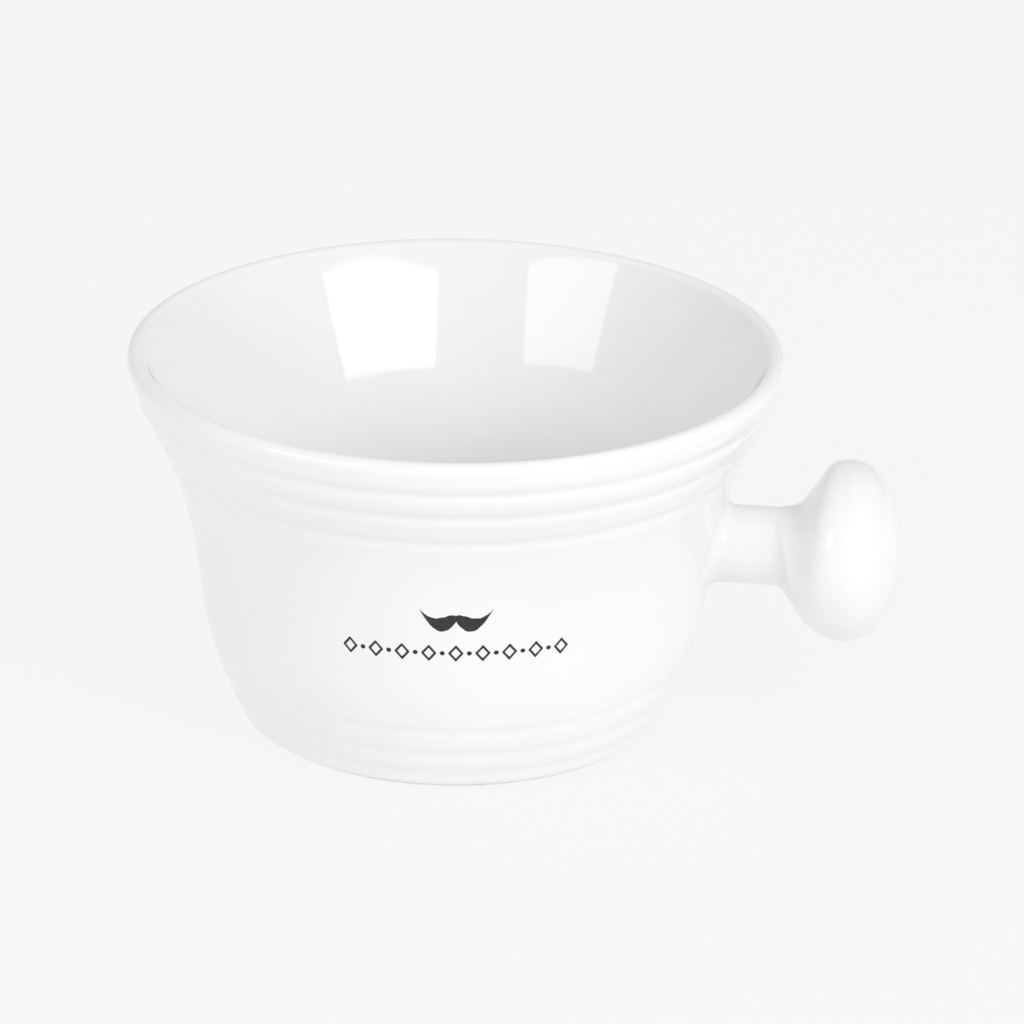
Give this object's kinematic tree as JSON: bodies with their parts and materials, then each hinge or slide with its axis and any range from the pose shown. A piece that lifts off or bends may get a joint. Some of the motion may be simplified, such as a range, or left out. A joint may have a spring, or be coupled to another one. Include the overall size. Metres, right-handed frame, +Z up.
{
  "type": "shaving mug",
  "caption": "Bell-shaped glazed porcelain shaving mug: flared rim with ribs under the lip, foot ring, and a mushroom knob handle on a short neck.",
  "frame": {"origin": "centre of the foot ring's resting face, on the bowl's axis", "axes": "+Z up along the bowl's axis, +X along the handle, from the bowl to the knob; the printed side faces -Y"},
  "size_m": [0.1428, 0.12, 0.0707],
  "materials": {
    "bare_porcelain": "matt, fine grained, unglazed",
    "white_glaze": "high gloss clear glaze on white",
    "black_print": "fired black transfer, satin gloss"
  },
  "bodies": {
    "root": {"bowl_body": "bare_porcelain", "knob_handle": "bare_porcelain", "handle_joint_slip": "bare_porcelain", "inside_glaze": "white_glaze", "outside_glaze": "white_glaze", "foot_recess_glaze": "white_glaze", "moustache_print": "black_print", "lozenge_row_print": "black_print"}
  },
  "joints": []
}
